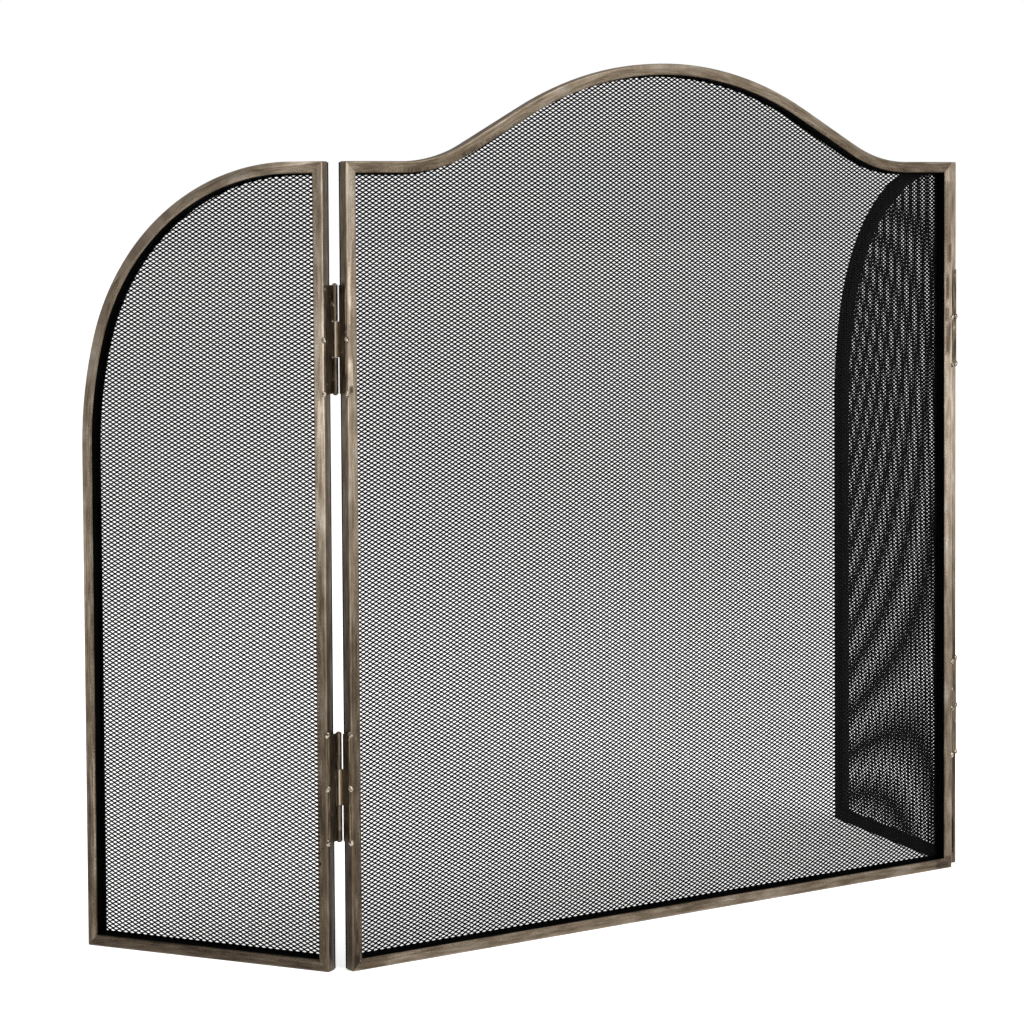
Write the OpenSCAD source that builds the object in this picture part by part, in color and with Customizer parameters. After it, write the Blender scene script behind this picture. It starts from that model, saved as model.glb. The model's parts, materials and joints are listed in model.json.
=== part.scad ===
// Three-panel folding fireplace screen: a camel-back centre panel and two
// arched wings, each a mitred square-tube frame with expanded metal mesh
// behind it, a flat strip frame that clamps the mesh, and butt hinges whose
// barrels stand behind the frame so that the wings fold back.
// Millimetres, +Z up. The origin is the middle of the centre panel's underside,
// +X runs to the viewer's right and the front faces -Y.

/* [Panels] */
// Width of the centre panel over its stiles
centre_w = 645; // [540:1:774]
// Height of the stiles and of the wings' hinge side
stile_h = 640; // [534:1:800]
// Height of the centre crown above the stiles
crown_rise = 82; // [66:1:98]
// Width of one wing over its frame
wing_w = 226; // [189:1:271]

/* [Centre top curve] */
// Level length of the shoulder, from the outer corner
shoulder_run = 56; // [30:1:90]
// Radius of the hollow curve above the shoulder, at the top edge
hollow_r = 128; // [80:1:160]
// Slope of the straight length between the hollow and the crown, in degrees
slope = 27.6; // [22:0.1:33]

/* [Wing curve] */
// Radius of the slow bend in the outer upright, at the outer edge
upright_bend_r = 340; // [260:1:400]
// Turn of that slow bend, in degrees
upright_bend_turn = 15.6; // [8:0.1:20]
// Level length of the arch's end, from the hinge side
arch_level_run = 29.5; // [15:0.5:40]

/* [Tube] */
// Side of the square tube
tube = 9.5; // [8:0.1:14]
// Wall of the tube
tube_wall = 1; // [0.8:0.1:1.4]
// Rounding of the tube's long edges
tube_edge_r = 1.2; // [0.6:0.1:1.4]

/* [Mesh and strips] */
// Thickness of the mesh sheet
mesh_t = 0.7; // [0.5:0.1:1.2]
// Distance from the frame's outer edge to the edge of the mesh
mesh_inset = 2; // [1:0.1:4]
// Width of the flat strips that clamp the mesh
strip_w = 10.2; // [9:0.1:16]
// Thickness of the strips
strip_t = 1.5; // [1:0.1:3]
// Distance from the frame's outer edge to the strip's outer edge
strip_inset = 0.8; // [0.4:0.1:2]

/* [Hinges] */
// Length of a hinge leaf
hinge_len = 85.5; // [60:0.5:120]
// Distance from the stiles' top down to the upper hinge
upper_hinge_gap = 97; // [70:1:140]
// Distance from the floor up to the lower hinge
lower_hinge_gap = 103; // [70:1:140]
// Diameter of the barrel, which is also the gap between closed-flat stiles
barrel_d = 5; // [4.6:0.1:7]
// Thickness of a leaf
leaf_t = 1.5; // [1.2:0.1:2]
// Set-back of a leaf's front edge from the frame's front face
leaf_setback = 0.6; // [0:0.1:2]
// Distance of the barrel's axis behind the strips' rear face
axis_behind = 2.3; // [2:0.1:5]
// Diameter of the pin
pin_d = 2; // [1.6:0.1:2.6]
// Height of a pin's domed head
pin_head_h = 1.2; // [0.8:0.1:2]
// How much smaller the head's rim is than the barrel, in radius
pin_head_rim = 0.2; // [0:0.1:0.5]
// Radial clearance of the pin in the wing leaf's knuckles
pin_clearance = 0.05; // [0.02:0.01:0.1]
// Gap between the wing leaf's rear edge and the middle knuckle
wing_leaf_gap = 0.55; // [0.4:0.05:1.5]
// Gap between neighbouring knuckles and under a pin head
knuckle_gap = 0.3; // [0.1:0.1:0.6]

/* [Pose] */
// How far the left wing is folded back from flat, in degrees
left_fold = 61; // [0:1:180]
// How far the right wing is folded back from flat, in degrees
right_fold = 75; // [0:1:180]

/* [Hidden] */
$fn = 96;
bend_step = 2; // degrees of turn between the rings of a bend
over = 1; // how far a cutter runs past what it cuts
knuckles = 3;
frame_front_y = -tube / 2;
frame_rear_y = tube / 2;
strip_front_y = frame_rear_y + mesh_t;
strip_rear_y = strip_front_y + strip_t;
axis_y = strip_rear_y + axis_behind;
axis_x = centre_w / 2 + barrel_d / 2; // of the right-hand hinges
wing_x = centre_w / 2 + barrel_d; // hinge-side face of the flat right wing
strip_inner = strip_inset + strip_w;
centre_leaf_rear_y = frame_rear_y; // only the knuckle's tongue reaches further back
wing_leaf_rear_y = axis_y - barrel_d / 2 - wing_leaf_gap;
knuckle_len = (hinge_len - (knuckles - 1) * knuckle_gap) / knuckles;
upper_hinge_z = stile_h - upper_hinge_gap - hinge_len;

// The centre's top edge rises from the shoulder in a hollow arc, a straight
// slope and half of the crown's arc. Its rise and its run fix the sum of the
// two radii and the length of the slope.
hollow_x = centre_w / 2 - shoulder_run;
radii_sum = (hollow_x * sin(slope) - crown_rise * cos(slope)) / (1 - cos(slope));
slope_run = crown_rise / sin(slope) - radii_sum * (1 - cos(slope)) / sin(slope);
crown_r = radii_sum - hollow_r;
hollow_z = stile_h + hollow_r;
crown_z = stile_h + crown_rise - crown_r;

// The wing's outer upright is straight up to bend_z, and the arch fills the
// width that the slow bend and the level end leave.
arch_turn = 90 - upright_bend_turn;
bend_in = upright_bend_r * (1 - cos(upright_bend_turn));
arch_r = (wing_w - arch_level_run - bend_in) / cos(upright_bend_turn);
bend_z = stile_h - upright_bend_r * sin(upright_bend_turn) - arch_r * (1 - sin(upright_bend_turn));

metal = "#6f6555";
black = "#121212";
hinge_metal = "#564b3d";

// ---- Placing ----

// Stands a drawing made in the XY plane up in the panel's plane, front to -Y.
module upright() {
    rotate([90, 0, 0]) children();
}

// Extrudes a drawing of a panel from y0 back to y1.
module slab(y0, y1) {
    translate([0, y1, 0]) upright() linear_extrude(height = y1 - y0) children();
}

// Folds a part of the flat right wing back about the hinge axis.
module folded(angle) {
    translate([axis_x, axis_y, 0]) rotate([0, 0, angle]) translate([-axis_x, -axis_y, 0]) children();
}

// Puts a right wing part in its place, then folds it.
module on_right_wing() {
    folded(right_fold) translate([wing_x, 0, 0]) children();
}

// The left wing is the right wing's mirror image.
module on_left_wing() {
    mirror([1, 0, 0]) folded(left_fold) translate([wing_x, 0, 0]) children();
}

// ---- Tube ----

// A square whose corners are rounded in a few flat steps.
function eased_square(side, r, steps = 3) = [
    for (q = [0:3], i = [0:steps])
        let(c = side / sqrt(2) - r * sqrt(2), a = 90 * q + 90 * i / steps)
        [c * cos(45 + 90 * q) + r * cos(a), c * sin(45 + 90 * q) + r * sin(a)]
];

outside = eased_square(tube, tube_edge_r);
bore = [for (q = [0:3]) (tube / 2 - tube_wall) * sqrt(2) * [cos(45 + 90 * q), sin(45 + 90 * q)]];

// A straight length of tube along +X, in the drawing plane.
module straight_tube(length) {
    rotate([90, 0, 90]) linear_extrude(height = length) difference() {
        polygon(outside);
        polygon(bore);
    }
}

// Places along a bend of the centre line that starts at f and has radius r. A
// place is [x, y, heading], and the turn is positive to the left.
function bend(f, r, turn) =
    let(n = ceil(abs(turn) / bend_step), side = sign(turn))
    [for (i = [1:n]) let(to = f.z + turn * i / n) [
        f.x + side * r * (sin(to) - sin(f.z)),
        f.y - side * r * (cos(to) - cos(f.z)),
        to
    ]];

function run(f, length) = [[f.x + length * cos(f.z), f.y + length * sin(f.z), f.z]];

// Places along a list of steps: [length] is a straight run, [r, turn] a bend.
function places(f, steps, i = 0) =
    i == len(steps) ? [f] :
    let(s = steps[i], next = len(s) == 1 ? run(f, s[0]) : bend(f, s[0], s[1]))
    concat([f], [for (k = [0:1:len(next) - 2]) next[k]], places(next[len(next) - 1], steps, i + 1));

// A ring of the section at place p. The panel lies to the left, where u is
// positive, and shear slides each point along to make the end's mitre.
function ring(section, p, shear) = [
    for (q = section) let(along = shear * (q.x + tube / 2))
        [p.x + along * cos(p.z) - q.x * sin(p.z), p.y + along * sin(p.z) + q.x * cos(p.z), q.y]
];

// A wall between neighbouring rings that start at index i and j.
function wall(i, j, n) = [for (k = [0:n - 1]) let(m = (k + 1) % n) [i + k, i + m, j + m, j + k]];

// Bent tube through places, mitred at 45 degrees at both ends.
module bent_tube(at) {
    n = len(outside);
    m = len(bore);
    last = len(at) - 1;
    each_ring = n + m;
    points = [for (i = [0:last]) let(shear = i == 0 ? 1 : i == last ? -1 : 0)
        each concat(ring(outside, at[i], shear), ring(bore, at[i], shear))];
    sides = [for (i = [0:last - 1]) let(a = i * each_ring, b = a + each_ring)
        each concat(wall(b, a, n), wall(a + n, b + n, m))];
    // Each end face is cut into four parts, one between each side of the bore
    // and the quarter of the outside that faces it.
    quarter = n / 4;
    cap = [for (q = [0:3]) concat(
        [for (k = [0:quarter]) (q * quarter + k + quarter - 1) % n],
        [n + (q + 1) % m, n + q]
    )];
    far_cap = [for (f = cap) [for (k = [len(f) - 1:-1:0]) f[k] + last * each_ring]];
    polyhedron(points, concat(sides, cap, far_cap), convexity = 6);
}

// What a 45-degree mitre takes off at the drawing's origin, from a bar that
// runs along +X with the panel above it.
module mitre_waste() {
    linear_extrude(height = tube + 2 * over, center = true)
        polygon([[-over, -over], [tube + over, tube + over], [-over, tube + over]]);
}

// A straight bar of length l, mitred at both ends.
module mitred_bar(l) {
    difference() {
        translate([0, tube / 2, 0]) straight_tube(l);
        mitre_waste();
        translate([l, 0, 0]) mirror([1, 0, 0]) mitre_waste();
    }
}

// An upright bar whose outer face is at x = 0 and whose panel is on +X.
module mitred_upright(l) {
    upright() mirror([1, 0, 0]) rotate([0, 0, 90]) mitred_bar(l);
}

// ---- Outlines of the panels, in the drawing plane ----

// Points on an arc from a0 to a1, in degrees.
function arc(c, r, a0, a1, n = 24) = [
    for (i = [0:n]) c + r * [cos(a0 + (a1 - a0) * i / n), sin(a0 + (a1 - a0) * i / n)]
];

function mirrored(points) = [for (i = [len(points) - 1:-1:0]) [-points[i].x, points[i].y]];

// Right half of the centre's top edge, from the crown down, moved in by d.
function half_top(d) = concat(
    arc([0, crown_z], crown_r - d, 90, 90 - slope),
    arc([hollow_x, hollow_z], hollow_r + d, 270 - slope, 270)
);

module centre_outline(d) {
    low_right = [[centre_w / 2 - d, stile_h - d], [centre_w / 2 - d, d]];
    right = concat(half_top(d), low_right);
    polygon(concat(mirrored(right), right));
}

module wing_outline(d) {
    upright_x = wing_w - upright_bend_r;
    polygon(concat(
        [[d, d], [wing_w - d, d]],
        arc([upright_x, bend_z], upright_bend_r - d, 0, upright_bend_turn, 8),
        arc([arch_level_run, stile_h - arch_r], arch_r - d, upright_bend_turn, 90),
        [[d, stile_h - d]]
    ));
}

// A band of the outline that the strips fill.
module strip_band(is_wing) {
    difference() {
        if (is_wing) wing_outline(strip_inset); else centre_outline(strip_inset);
        if (is_wing) wing_outline(strip_inner); else centre_outline(strip_inner);
    }
}

// ---- Centre panel ----

module centre_stile() {
    color(metal) translate([-centre_w / 2, 0, 0]) mitred_upright(stile_h);
}

module centre_left_stile() centre_stile();

module centre_right_stile() mirror([1, 0, 0]) centre_stile();

module centre_bottom_rail() {
    color(metal) translate([-centre_w / 2, 0, 0]) upright() mitred_bar(centre_w);
}

module centre_arched_rail() {
    hollow = hollow_r + tube / 2;
    crown = crown_r - tube / 2;
    half = [[shoulder_run], [hollow, -slope], [slope_run]];
    back = [[slope_run], [hollow, -slope], [shoulder_run]];
    color(metal) upright() bent_tube(
        places([centre_w / 2, stile_h - tube / 2, 180], concat(half, [[crown, 2 * slope]], back))
    );
}

module centre_mesh() {
    color(black) slab(frame_rear_y, strip_front_y) centre_outline(mesh_inset);
}

module centre_side_strip() {
    color(black) slab(strip_front_y, strip_rear_y)
        translate([-centre_w / 2 + strip_inset, strip_inner])
        square([strip_w, stile_h - 2 * strip_inner]);
}

module centre_left_strip() centre_side_strip();

module centre_right_strip() mirror([1, 0, 0]) centre_side_strip();

module centre_bottom_strip() {
    color(black) slab(strip_front_y, strip_rear_y)
        translate([-centre_w / 2 + strip_inset, strip_inset])
        square([centre_w - 2 * strip_inset, strip_w]);
}

module centre_arched_strip() {
    color(black) slab(strip_front_y, strip_rear_y) intersection() {
        strip_band(false);
        translate([-centre_w / 2, stile_h - strip_inner]) square([centre_w, crown_rise + strip_inner]);
    }
}

// ---- Wings, drawn flat with the hinge side at x = 0 ----

module wing_hinge_stile() {
    color(metal) mitred_upright(stile_h);
}

module wing_bottom_rail() {
    color(metal) upright() mitred_bar(wing_w);
}

// The outer upright and the arch are one bent tube.
module wing_bow() {
    color(metal) upright() bent_tube(places([wing_w - tube / 2, 0, 90], [
        [bend_z],
        [upright_bend_r - tube / 2, upright_bend_turn],
        [arch_r - tube / 2, arch_turn],
        [arch_level_run]
    ]));
}

module wing_mesh() {
    color(black) slab(frame_rear_y, strip_front_y) wing_outline(mesh_inset);
}

module wing_bottom_strip() {
    color(black) slab(strip_front_y, strip_rear_y)
        translate([strip_inset, strip_inset]) square([wing_w - 2 * strip_inset, strip_w]);
}

module wing_hinge_strip() {
    color(black) slab(strip_front_y, strip_rear_y)
        translate([strip_inset, strip_inner]) square([strip_w, stile_h - 2 * strip_inner]);
}

module wing_bow_strip() {
    color(black) slab(strip_front_y, strip_rear_y) difference() {
        strip_band(true);
        square([wing_w, strip_inner]);
        square([strip_inner, stile_h - strip_inner]);
    }
}

// ---- Hinges, drawn on the flat right-hand side ----

// Knuckles number 0 and 2 are the wing leaf's and number 1 is the centre leaf's.
function knuckle_z(i) = i * (knuckle_len + knuckle_gap);

// A knuckle with the tongue of plate that joins it to a leaf on its -X side.
module knuckle(bore_r, rear_y) {
    difference() {
        union() {
            translate([axis_x, axis_y, 0]) cylinder(d = barrel_d, h = knuckle_len);
            translate([centre_w / 2, rear_y, 0]) cube([leaf_t, axis_y - rear_y, knuckle_len]);
        }
        translate([axis_x, axis_y, -over]) cylinder(r = bore_r, h = knuckle_len + 2 * over);
    }
}

module leaf(own_knuckles, bore_r, rear_y) {
    front_y = frame_front_y + leaf_setback;
    translate([centre_w / 2, front_y, 0]) cube([leaf_t, rear_y - front_y, hinge_len]);
    for (i = own_knuckles) translate([0, 0, knuckle_z(i)]) knuckle(bore_r, rear_y);
}

module centre_leaf() {
    color(hinge_metal) leaf([1], pin_d / 2, centre_leaf_rear_y);
}

// The wing leaf lies on the wing's stile, across the barrel from the other one.
module wing_leaf() {
    color(hinge_metal) folded(right_fold) facing_leaf();
}

module left_wing_leaf() {
    color(hinge_metal) folded(left_fold) facing_leaf();
}

module facing_leaf() {
    translate([2 * axis_x, 0, 0]) mirror([1, 0, 0])
        leaf([0, 2], pin_d / 2 + pin_clearance, wing_leaf_rear_y);
}

// The pin is tight in the centre leaf and has a domed head at each end.
module hinge_pin() {
    color(hinge_metal) translate([axis_x, axis_y, 0]) {
        translate([0, 0, -knuckle_gap]) cylinder(d = pin_d, h = hinge_len + 2 * knuckle_gap);
        translate([0, 0, hinge_len + knuckle_gap]) pin_head();
        translate([0, 0, -knuckle_gap]) mirror([0, 0, 1]) pin_head();
    }
}

// A dome whose flat side is at z = 0, cut from a sphere.
module pin_head() {
    rim_r = barrel_d / 2 - pin_head_rim;
    dome_r = (pow(rim_r, 2) + pow(pin_head_h, 2)) / (2 * pin_head_h);
    rotate_extrude() intersection() {
        translate([0, pin_head_h - dome_r]) circle(r = dome_r);
        square([rim_r, pin_head_h]);
    }
}

module at_upper() {
    translate([0, 0, upper_hinge_z]) children();
}

module at_lower() {
    translate([0, 0, lower_hinge_gap]) children();
}

module on_left() {
    mirror([1, 0, 0]) children();
}

centre_left_stile();
centre_right_stile();
centre_bottom_rail();
centre_arched_rail();
centre_mesh();
centre_left_strip();
centre_right_strip();
centre_bottom_strip();
centre_arched_strip();
on_left_wing() wing_hinge_stile();  // left_wing_hinge_stile
on_left_wing() wing_bow();  // left_wing_bow
on_left_wing() wing_bottom_rail();  // left_wing_bottom_rail
on_left_wing() wing_mesh();  // left_wing_mesh
on_left_wing() wing_hinge_strip();  // left_wing_hinge_strip
on_left_wing() wing_bow_strip();  // left_wing_bow_strip
on_left_wing() wing_bottom_strip();  // left_wing_bottom_strip
on_right_wing() wing_hinge_stile();  // right_wing_hinge_stile
on_right_wing() wing_bow();  // right_wing_bow
on_right_wing() wing_bottom_rail();  // right_wing_bottom_rail
on_right_wing() wing_mesh();  // right_wing_mesh
on_right_wing() wing_hinge_strip();  // right_wing_hinge_strip
on_right_wing() wing_bow_strip();  // right_wing_bow_strip
on_right_wing() wing_bottom_strip();  // right_wing_bottom_strip
on_left() at_upper() centre_leaf();  // left_upper_hinge_centre_leaf
on_left() at_upper() left_wing_leaf();  // left_upper_hinge_wing_leaf
on_left() at_upper() hinge_pin();  // left_upper_hinge_pin
on_left() at_lower() centre_leaf();  // left_lower_hinge_centre_leaf
on_left() at_lower() left_wing_leaf();  // left_lower_hinge_wing_leaf
on_left() at_lower() hinge_pin();  // left_lower_hinge_pin
at_upper() centre_leaf();  // right_upper_hinge_centre_leaf
at_upper() wing_leaf();  // right_upper_hinge_wing_leaf
at_upper() hinge_pin();  // right_upper_hinge_pin
at_lower() centre_leaf();  // right_lower_hinge_centre_leaf
at_lower() wing_leaf();  // right_lower_hinge_wing_leaf
at_lower() hinge_pin();  // right_lower_hinge_pin
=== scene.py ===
"""The looks of a folding fireplace screen: tube frames, expanded metal, hinges, finishes and studio."""
import json
import logging
import math
from collections.abc import Iterator
from contextlib import contextmanager
from dataclasses import dataclass, field
from enum import Enum

import bpy
import numpy as np
from mathutils import Matrix, Vector


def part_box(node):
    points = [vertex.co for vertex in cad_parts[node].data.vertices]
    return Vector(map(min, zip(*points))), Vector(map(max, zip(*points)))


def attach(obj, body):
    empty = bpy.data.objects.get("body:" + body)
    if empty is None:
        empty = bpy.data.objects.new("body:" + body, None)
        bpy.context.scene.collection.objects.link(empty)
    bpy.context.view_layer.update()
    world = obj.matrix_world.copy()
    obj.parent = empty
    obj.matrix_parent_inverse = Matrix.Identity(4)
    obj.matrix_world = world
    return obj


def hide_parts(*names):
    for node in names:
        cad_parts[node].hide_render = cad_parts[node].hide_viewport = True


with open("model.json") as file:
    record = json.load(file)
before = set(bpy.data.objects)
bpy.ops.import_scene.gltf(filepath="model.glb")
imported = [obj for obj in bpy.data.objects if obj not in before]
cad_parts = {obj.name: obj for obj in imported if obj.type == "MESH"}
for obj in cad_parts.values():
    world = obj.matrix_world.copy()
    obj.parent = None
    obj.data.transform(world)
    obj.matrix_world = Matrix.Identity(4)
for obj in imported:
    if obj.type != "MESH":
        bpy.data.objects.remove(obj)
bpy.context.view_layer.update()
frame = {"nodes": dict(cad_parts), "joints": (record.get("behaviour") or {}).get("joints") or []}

MM = 0.001
FACING = 0.5      # least share of a normal along an axis for a face that looks that way
SQUARE_ON = 0.99  # the same for a face that looks straight along it
log = logging.getLogger("fireplace_screen")

Colour = tuple[float, float, float]
Socket = bpy.types.NodeSocket
Object = bpy.types.Object


class Panel(Enum):
    """The three panels, by the name of the body that each one is."""

    CENTRE = "centre_panel"
    LEFT = "left_wing"
    RIGHT = "right_wing"

    @property
    def prefix(self) -> str:
        """What the names of the panel's pieces start with."""
        return "centre" if self is Panel.CENTRE else self.value


class Slot(Enum):
    """The record's material slots, by name."""

    FRAME = "antique_frame"
    MESH = "mesh_black"
    HINGE = "hinge_metal"


# ---- Modelling by hand ----


def select_only(*objects: Object) -> None:
    """Selects these objects and nothing else, with the first one active.

    Args:
        objects: The objects to select.
    """
    bpy.ops.object.select_all(action="DESELECT")
    for obj in objects:
        obj.select_set(True)
    bpy.context.view_layer.objects.active = objects[0]


@contextmanager
def editing(obj: Object, everything: bool = True) -> Iterator[None]:
    """Puts one object in edit mode for the length of a with block.

    Args:
        obj: The mesh object to edit.
        everything: Whether all of it starts selected, or keeps the selection set in object mode.
    """
    select_only(obj)
    bpy.ops.object.mode_set(mode="EDIT")
    if everything:
        bpy.ops.mesh.select_all(action="SELECT")
    try:
        yield
    finally:
        bpy.ops.object.mode_set(mode="OBJECT")


def select_faces(obj: Object, chosen: np.ndarray) -> None:
    """Selects some of an object's faces, for the next edit.

    Args:
        obj: The mesh object.
        chosen: Whether each face is selected.
    """
    mesh = obj.data
    mesh.vertices.foreach_set("select", np.zeros(len(mesh.vertices), bool))
    mesh.edges.foreach_set("select", np.zeros(len(mesh.edges), bool))
    mesh.polygons.foreach_set("select", np.asarray(chosen, bool))


def face_data(obj: Object, what: str) -> np.ndarray:
    """Reads one measure of every face of an object.

    Args:
        obj: The mesh object.
        what: "center" or "normal".

    Returns:
        The measure, one row for each face.
    """
    values = np.empty(3 * len(obj.data.polygons), np.float32)
    obj.data.polygons.foreach_get(what, values)
    return values.reshape(-1, 3)


def points_of(obj: Object) -> np.ndarray:
    """Reads an object's points.

    Args:
        obj: The mesh object.

    Returns:
        The points, one row each.
    """
    values = np.empty(3 * len(obj.data.vertices), np.float32)
    obj.data.vertices.foreach_get("co", values)
    return values.reshape(-1, 3)


def moved(points: np.ndarray, matrix: Matrix) -> np.ndarray:
    """Points after a matrix has moved them, one row each."""
    m = np.array(matrix)
    return points @ m[:3, :3].T + m[:3, 3]


def apply_modifier(obj: Object, kind: str, **settings: object) -> None:
    """Adds a modifier and applies it.

    Args:
        obj: The object that takes it.
        kind: The kind of modifier.
        settings: What its properties are set to.
    """
    select_only(obj)
    modifier = obj.modifiers.new(kind.title(), kind)
    for name, value in settings.items():
        setattr(modifier, name, value)
    bpy.ops.object.modifier_apply(modifier=modifier.name)


def put_in_place(obj: Object, matrix: Matrix) -> None:
    """Moves the mesh itself, and keeps its faces outward where the matrix mirrors it.

    Args:
        obj: The mesh object.
        matrix: Where its points go.
    """
    obj.data.transform(matrix)
    if matrix.determinant() < 0:
        with editing(obj):
            bpy.ops.mesh.flip_normals()


# ---- Materials ----


class Shader:
    """One node material under construction, with short calls for the nodes that the finishes use."""

    def __init__(self, name: str) -> None:
        """Starts a material with a Principled shader.

        Args:
            name: The material's name.
        """
        self.material = bpy.data.materials.new(name)
        self.material.use_nodes = True
        self.tree = self.material.node_tree
        self.surface = self.tree.nodes["Principled BSDF"]

    def node(self, kind: str, **settings: object) -> bpy.types.Node:
        """Adds a node.

        Args:
            kind: The kind of node.
            settings: What its properties are set to.

        Returns:
            The node.
        """
        node = self.tree.nodes.new(kind)
        for name, value in settings.items():
            setattr(node, name, value)
        return node

    def put(self, socket: Socket, value: Socket | float | Colour) -> None:
        """Links a socket, or sets it to a number or a colour.

        Args:
            socket: The input.
            value: What it takes.
        """
        if isinstance(value, Socket):
            self.tree.links.new(value, socket)
        elif isinstance(value, tuple) and socket.type == "RGBA":
            socket.default_value = (*value, 1.0)
        else:
            socket.default_value = value

    def where(self, output: str, stretch: Colour = (1, 1, 1), shift: Colour = (0, 0, 0)) -> Socket:
        """Texture coordinates, stretched and shifted.

        Args:
            output: "Object" or "UV".
            stretch: Factor on each axis.
            shift: Distance added on each axis.

        Returns:
            The vector socket.
        """
        mapping = self.node("ShaderNodeMapping")
        mapping.inputs["Scale"].default_value = stretch
        mapping.inputs["Location"].default_value = shift
        self.put(mapping.inputs["Vector"], self.node("ShaderNodeTexCoord").outputs[output])
        return mapping.outputs["Vector"]

    def parts(self, vector: Socket) -> tuple[Socket, Socket, Socket]:
        """Splits a vector.

        Args:
            vector: The vector socket.

        Returns:
            Its three numbers.
        """
        split = self.node("ShaderNodeSeparateXYZ")
        self.put(split.inputs[0], vector)
        return tuple(split.outputs)

    def noise(self, at: Socket, scale: float, detail: float = 3, rough: float = 0.55) -> Socket:
        """Cloud noise between 0 and 1.

        Args:
            at: Where it is read.
            scale: How fine it is, in lumps to the metre.
            detail: How many finer layers it has.
            rough: How strong the finer layers are.

        Returns:
            The noise.
        """
        noise = self.node("ShaderNodeTexNoise")
        self.put(noise.inputs["Vector"], at)
        for name, value in (("Scale", scale), ("Detail", detail), ("Roughness", rough)):
            noise.inputs[name].default_value = value
        return noise.outputs["Fac"]

    def math(self, operation: str, a: Socket | float, b: Socket | float = 0.0) -> Socket:
        """One sum on numbers or sockets.

        Args:
            operation: The kind of sum.
            a: The first number.
            b: The second number, where the sum takes two.

        Returns:
            The result.
        """
        node = self.node("ShaderNodeMath", operation=operation)
        self.put(node.inputs[0], a)
        self.put(node.inputs[1], b)
        return node.outputs[0]

    def fade(self, value: Socket, start: float, end: float, low: float = 0,
             high: float = 1) -> Socket:
        """Goes smoothly from one number to another as a value changes.

        Args:
            value: The value to follow.
            start: The value at which the result begins to change. It may be above end.
            end: The value at which the result has changed.
            low: The result at start.
            high: The result at end.

        Returns:
            The result.
        """
        node = self.node("ShaderNodeMapRange", interpolation_type="SMOOTHSTEP")
        numbers = {"From Min": start, "From Max": end, "To Min": low, "To Max": high}
        if start > end:
            numbers = {"From Min": end, "From Max": start, "To Min": high, "To Max": low}
        self.put(node.inputs["Value"], value)
        for name, number in numbers.items():
            node.inputs[name].default_value = number
        return node.outputs["Result"]

    def ramp(self, value: Socket, stops: tuple[tuple[float, Colour], ...]) -> Socket:
        """A colour that goes through some stops as a value changes.

        Args:
            value: The value to follow.
            stops: The place and the colour of each stop.

        Returns:
            The colour.
        """
        node = self.node("ShaderNodeValToRGB")
        band = node.color_ramp.elements
        while len(band) < len(stops):
            band.new(0.5)
        for element, (place, colour) in zip(band, stops):
            element.position = place
            element.color = (*colour, 1.0)
        self.put(node.inputs["Fac"], value)
        return node.outputs["Color"]

    def mix(self, share: Socket | float, a: Socket | Colour, b: Socket | Colour,
            blend: str = "MIX") -> Socket:
        """A colour that goes from one to another, or blends them in another way.

        Args:
            share: How much of the second colour there is, from 0 to 1.
            a: The first colour.
            b: The second colour.
            blend: The way of blending.

        Returns:
            The colour.
        """
        node = self.node("ShaderNodeMix", data_type="RGBA", blend_type=blend)
        self.put(node.inputs["Factor"], share)
        # The colour sockets share their names with the node's other kinds, so they go by number.
        self.put(node.inputs[6], a)
        self.put(node.inputs[7], b)
        return node.outputs[2]

    def bump(self, height: Socket, depth: float) -> None:
        """Raises the surface along its normal.

        Args:
            height: The relief, from 0 to 1.
            depth: What a height of 1 stands for, in metres.
        """
        node = self.node("ShaderNodeBump")
        node.inputs["Distance"].default_value = depth
        self.put(node.inputs["Height"], height)
        self.put(self.surface.inputs["Normal"], node.outputs["Normal"])

    def set(self, **values: Socket | float | Colour) -> None:
        """Sets the shader's own sockets; an underscore in a name is a space."""
        for name, value in values.items():
            self.put(self.surface.inputs[name.replace("_", " ")], value)


@dataclass(frozen=True)
class Mark:
    """A scuff, smear or scorch on a tube, in millimetres of the tube's UV map.

    A positive change is a rubbed spot and a negative one is a dark spot.
    """

    along: float
    across: float
    half_length: float
    half_width: float
    change: float


@dataclass(frozen=True)
class Tone:
    """How light the rubbing has left one tube, from 0 for the dark patina to 1 for bright metal.

    It goes from low near the floor to high further up, then to top between two heights.
    """

    low: float
    high: float
    top: float
    top_from: float = 0.50
    top_to: float = 0.62
    marks: tuple[Mark, ...] = ()


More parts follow.
